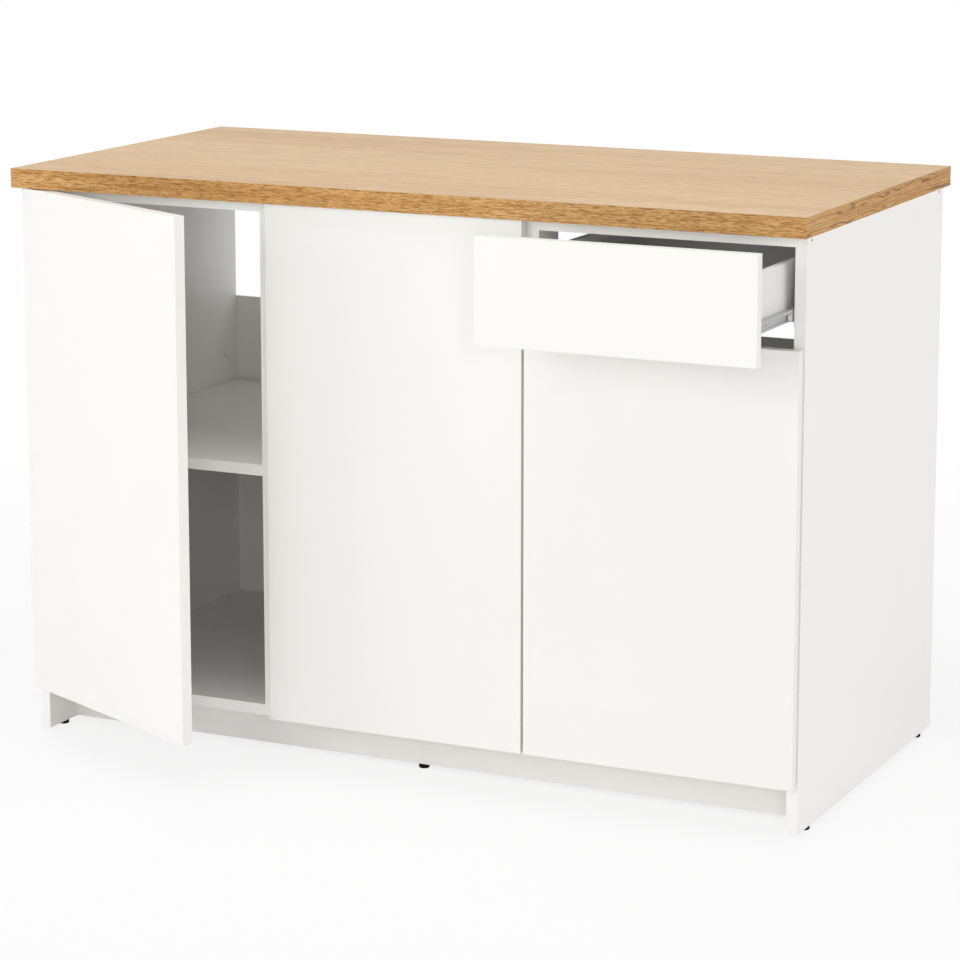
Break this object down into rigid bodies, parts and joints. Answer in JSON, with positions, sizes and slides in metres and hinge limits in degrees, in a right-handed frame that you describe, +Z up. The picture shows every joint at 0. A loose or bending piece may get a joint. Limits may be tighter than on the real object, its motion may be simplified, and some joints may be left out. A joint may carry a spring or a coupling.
{
  "type": "kitchen base cabinet",
  "caption": "White kitchen base cabinet with hinged doors, a drawer on rollers, an inner shelf, a recessed plinth and an oak-effect worktop, shown with a door ajar and the drawer out.",
  "frame": {"origin": "on the floor, at the centre of the underside of the middle foot, under the plinth board", "axes": "+X to the right as seen from the front, +Y to the back, +Z up; the doors and the drawer open towards -Y"},
  "size_m": [1.22, 0.7678, 0.85],
  "materials": {
    "white_board": "white melamine on chipboard, satin",
    "white_front": "white melamine on chipboard, smooth satin",
    "white_hardboard": "white lacquered hardboard",
    "grey_board": "pale melamine, matt",
    "oak_effect_top": "oak-effect laminate, satin",
    "oak_effect_edge": "oak-effect edge band, satin",
    "white_steel": "white powder coat",
    "galvanised_steel": "zinc-plated, dull",
    "nickel_steel": "nickel-plated",
    "black_plastic": "matt black",
    "pale_plastic": "matt, natural white",
    "beech": "raw, plain round dowel"
  },
  "bodies": {
    "carcass": {"back_nails": "nickel_steel", "back_panel": "white_hardboard", "bottom_panel": "white_board", "divider_left_inner": "white_board", "divider_left_outer": "white_board", "divider_right_inner": "white_board", "divider_right_outer": "white_board", "divider_screws": "nickel_steel", "dowels": "beech", "floor_glides": "black_plastic", "front_rail": "white_board", "front_roller_axles": "nickel_steel", "hinge_arm_pins": "nickel_steel", "hinge_arms": "nickel_steel", "hinge_plates": "nickel_steel", "hinge_screws": "nickel_steel", "plinth_board": "white_board", "rail_screws": "white_steel", "rear_rail": "white_board", "runner_left": "galvanised_steel", "runner_right": "galvanised_steel", "runner_screws": "nickel_steel", "shelf": "white_board", "shelf_pins": "nickel_steel", "side_panel_left": "white_board", "side_panel_right": "white_board", "worktop_core": "oak_effect_top", "worktop_edge_bands": "oak_effect_edge", "worktop_screws": "nickel_steel"},
    "inner_links_left": {"inner_links_left": "nickel_steel"},
    "outer_links_left": {"outer_links_left": "nickel_steel"},
    "door_left": {"door_left": "white_front", "hinge_cups_left": "nickel_steel", "hinge_cup_pins_left": "nickel_steel", "hinge_cup_screws_left": "nickel_steel"},
    "inner_links_middle": {"inner_links_middle": "nickel_steel"},
    "outer_links_middle": {"outer_links_middle": "nickel_steel"},
    "door_middle": {"door_middle": "white_front", "hinge_cups_middle": "nickel_steel", "hinge_cup_pins_middle": "nickel_steel", "hinge_cup_screws_middle": "nickel_steel"},
    "inner_links_right": {"inner_links_right": "nickel_steel"},
    "outer_links_right": {"outer_links_right": "nickel_steel"},
    "door_right": {"door_right": "white_front", "hinge_cups_right": "nickel_steel", "hinge_cup_pins_right": "nickel_steel", "hinge_cup_screws_right": "nickel_steel"},
    "drawer": {"drawer_front": "white_front", "drawer_side_left": "white_steel", "drawer_side_right": "white_steel", "drawer_rail_left": "galvanised_steel", "drawer_rail_right": "galvanised_steel", "drawer_floor": "grey_board", "drawer_back": "grey_board", "drawer_brackets": "white_steel", "drawer_screws": "nickel_steel", "rear_roller_axles": "nickel_steel"},
    "front_rollers": {"front_rollers": "pale_plastic"},
    "rear_rollers": {"rear_rollers": "pale_plastic"}
  },
  "joints": [
    {"name": "left_door", "type": "hinge", "parent": "inner_links_left", "child": "door_left", "pos_m": [-0.58371, -0.08931, 0.4468], "axis": [0, 0, -1], "range_deg": [-35.05, 94.53]},
    {"name": "left_inner_links", "type": "hinge", "parent": "carcass", "child": "inner_links_left", "pos_m": [-0.55925, -0.07753, 0.4468], "axis": [0, 0, -1], "range_deg": [-25.27, 9.4]},
    {"name": "left_outer_links", "type": "hinge", "parent": "carcass", "child": "outer_links_left", "pos_m": [-0.56553, -0.0913, 0.4468], "axis": [0, 0, -1], "range_deg": [-22.02, 8.2]},
    {"name": "middle_door", "type": "hinge", "parent": "inner_links_middle", "child": "door_middle", "pos_m": [-0.1853, -0.08518, 0.4468], "axis": [0, 0, -1], "range_deg": [0, 129.58]},
    {"name": "middle_inner_links", "type": "hinge", "parent": "carcass", "child": "inner_links_middle", "pos_m": [-0.15925, -0.07753, 0.4468], "axis": [0, 0, -1], "range_deg": [-34.63, 0.05]},
    {"name": "middle_outer_links", "type": "hinge", "parent": "carcass", "child": "outer_links_middle", "pos_m": [-0.16553, -0.0913, 0.4468], "axis": [0, 0, -1], "range_deg": [-30.16, 0.05]},
    {"name": "right_door", "type": "hinge", "parent": "inner_links_right", "child": "door_right", "pos_m": [0.5853, -0.08518, 0.3718], "axis": [0, 0, 1], "range_deg": [0, 129.58]},
    {"name": "right_inner_links", "type": "hinge", "parent": "carcass", "child": "inner_links_right", "pos_m": [0.55925, -0.07753, 0.3718], "axis": [0, 0, 1], "range_deg": [-34.63, 0.05]},
    {"name": "right_outer_links", "type": "hinge", "parent": "carcass", "child": "outer_links_right", "pos_m": [0.56553, -0.0913, 0.3718], "axis": [0, 0, 1], "range_deg": [-30.16, 0.05]},
    {"name": "drawer_slide", "type": "slide", "parent": "carcass", "child": "drawer", "axis": [0, -1, 0], "range_m": [-0.158, 0.212]},
    {"name": "front_rollers_turn", "type": "hinge", "parent": "carcass", "child": "front_rollers", "pos_m": [0.4, -0.071, 0.7135], "axis": [1, 0, 0], "continuous": true},
    {"name": "rear_rollers_turn", "type": "hinge", "parent": "drawer", "child": "rear_rollers", "pos_m": [0.4, 0.242, 0.713], "axis": [1, 0, 0], "continuous": true}
  ],
  "couplings": [
    {"joint": "left_inner_links", "follows": "left_door", "ratio": -0.26686},
    {"joint": "left_outer_links", "follows": "left_door", "ratio": -0.23241},
    {"joint": "middle_inner_links", "follows": "middle_door", "ratio": -0.26686},
    {"joint": "middle_outer_links", "follows": "middle_door", "ratio": -0.23241},
    {"joint": "right_inner_links", "follows": "right_door", "ratio": -0.26686},
    {"joint": "right_outer_links", "follows": "right_door", "ratio": -0.23241},
    {"joint": "front_rollers_turn", "follows": "drawer_slide", "rad_per_m": 117.65},
    {"joint": "rear_rollers_turn", "follows": "drawer_slide", "rad_per_m": 80}
  ]
}
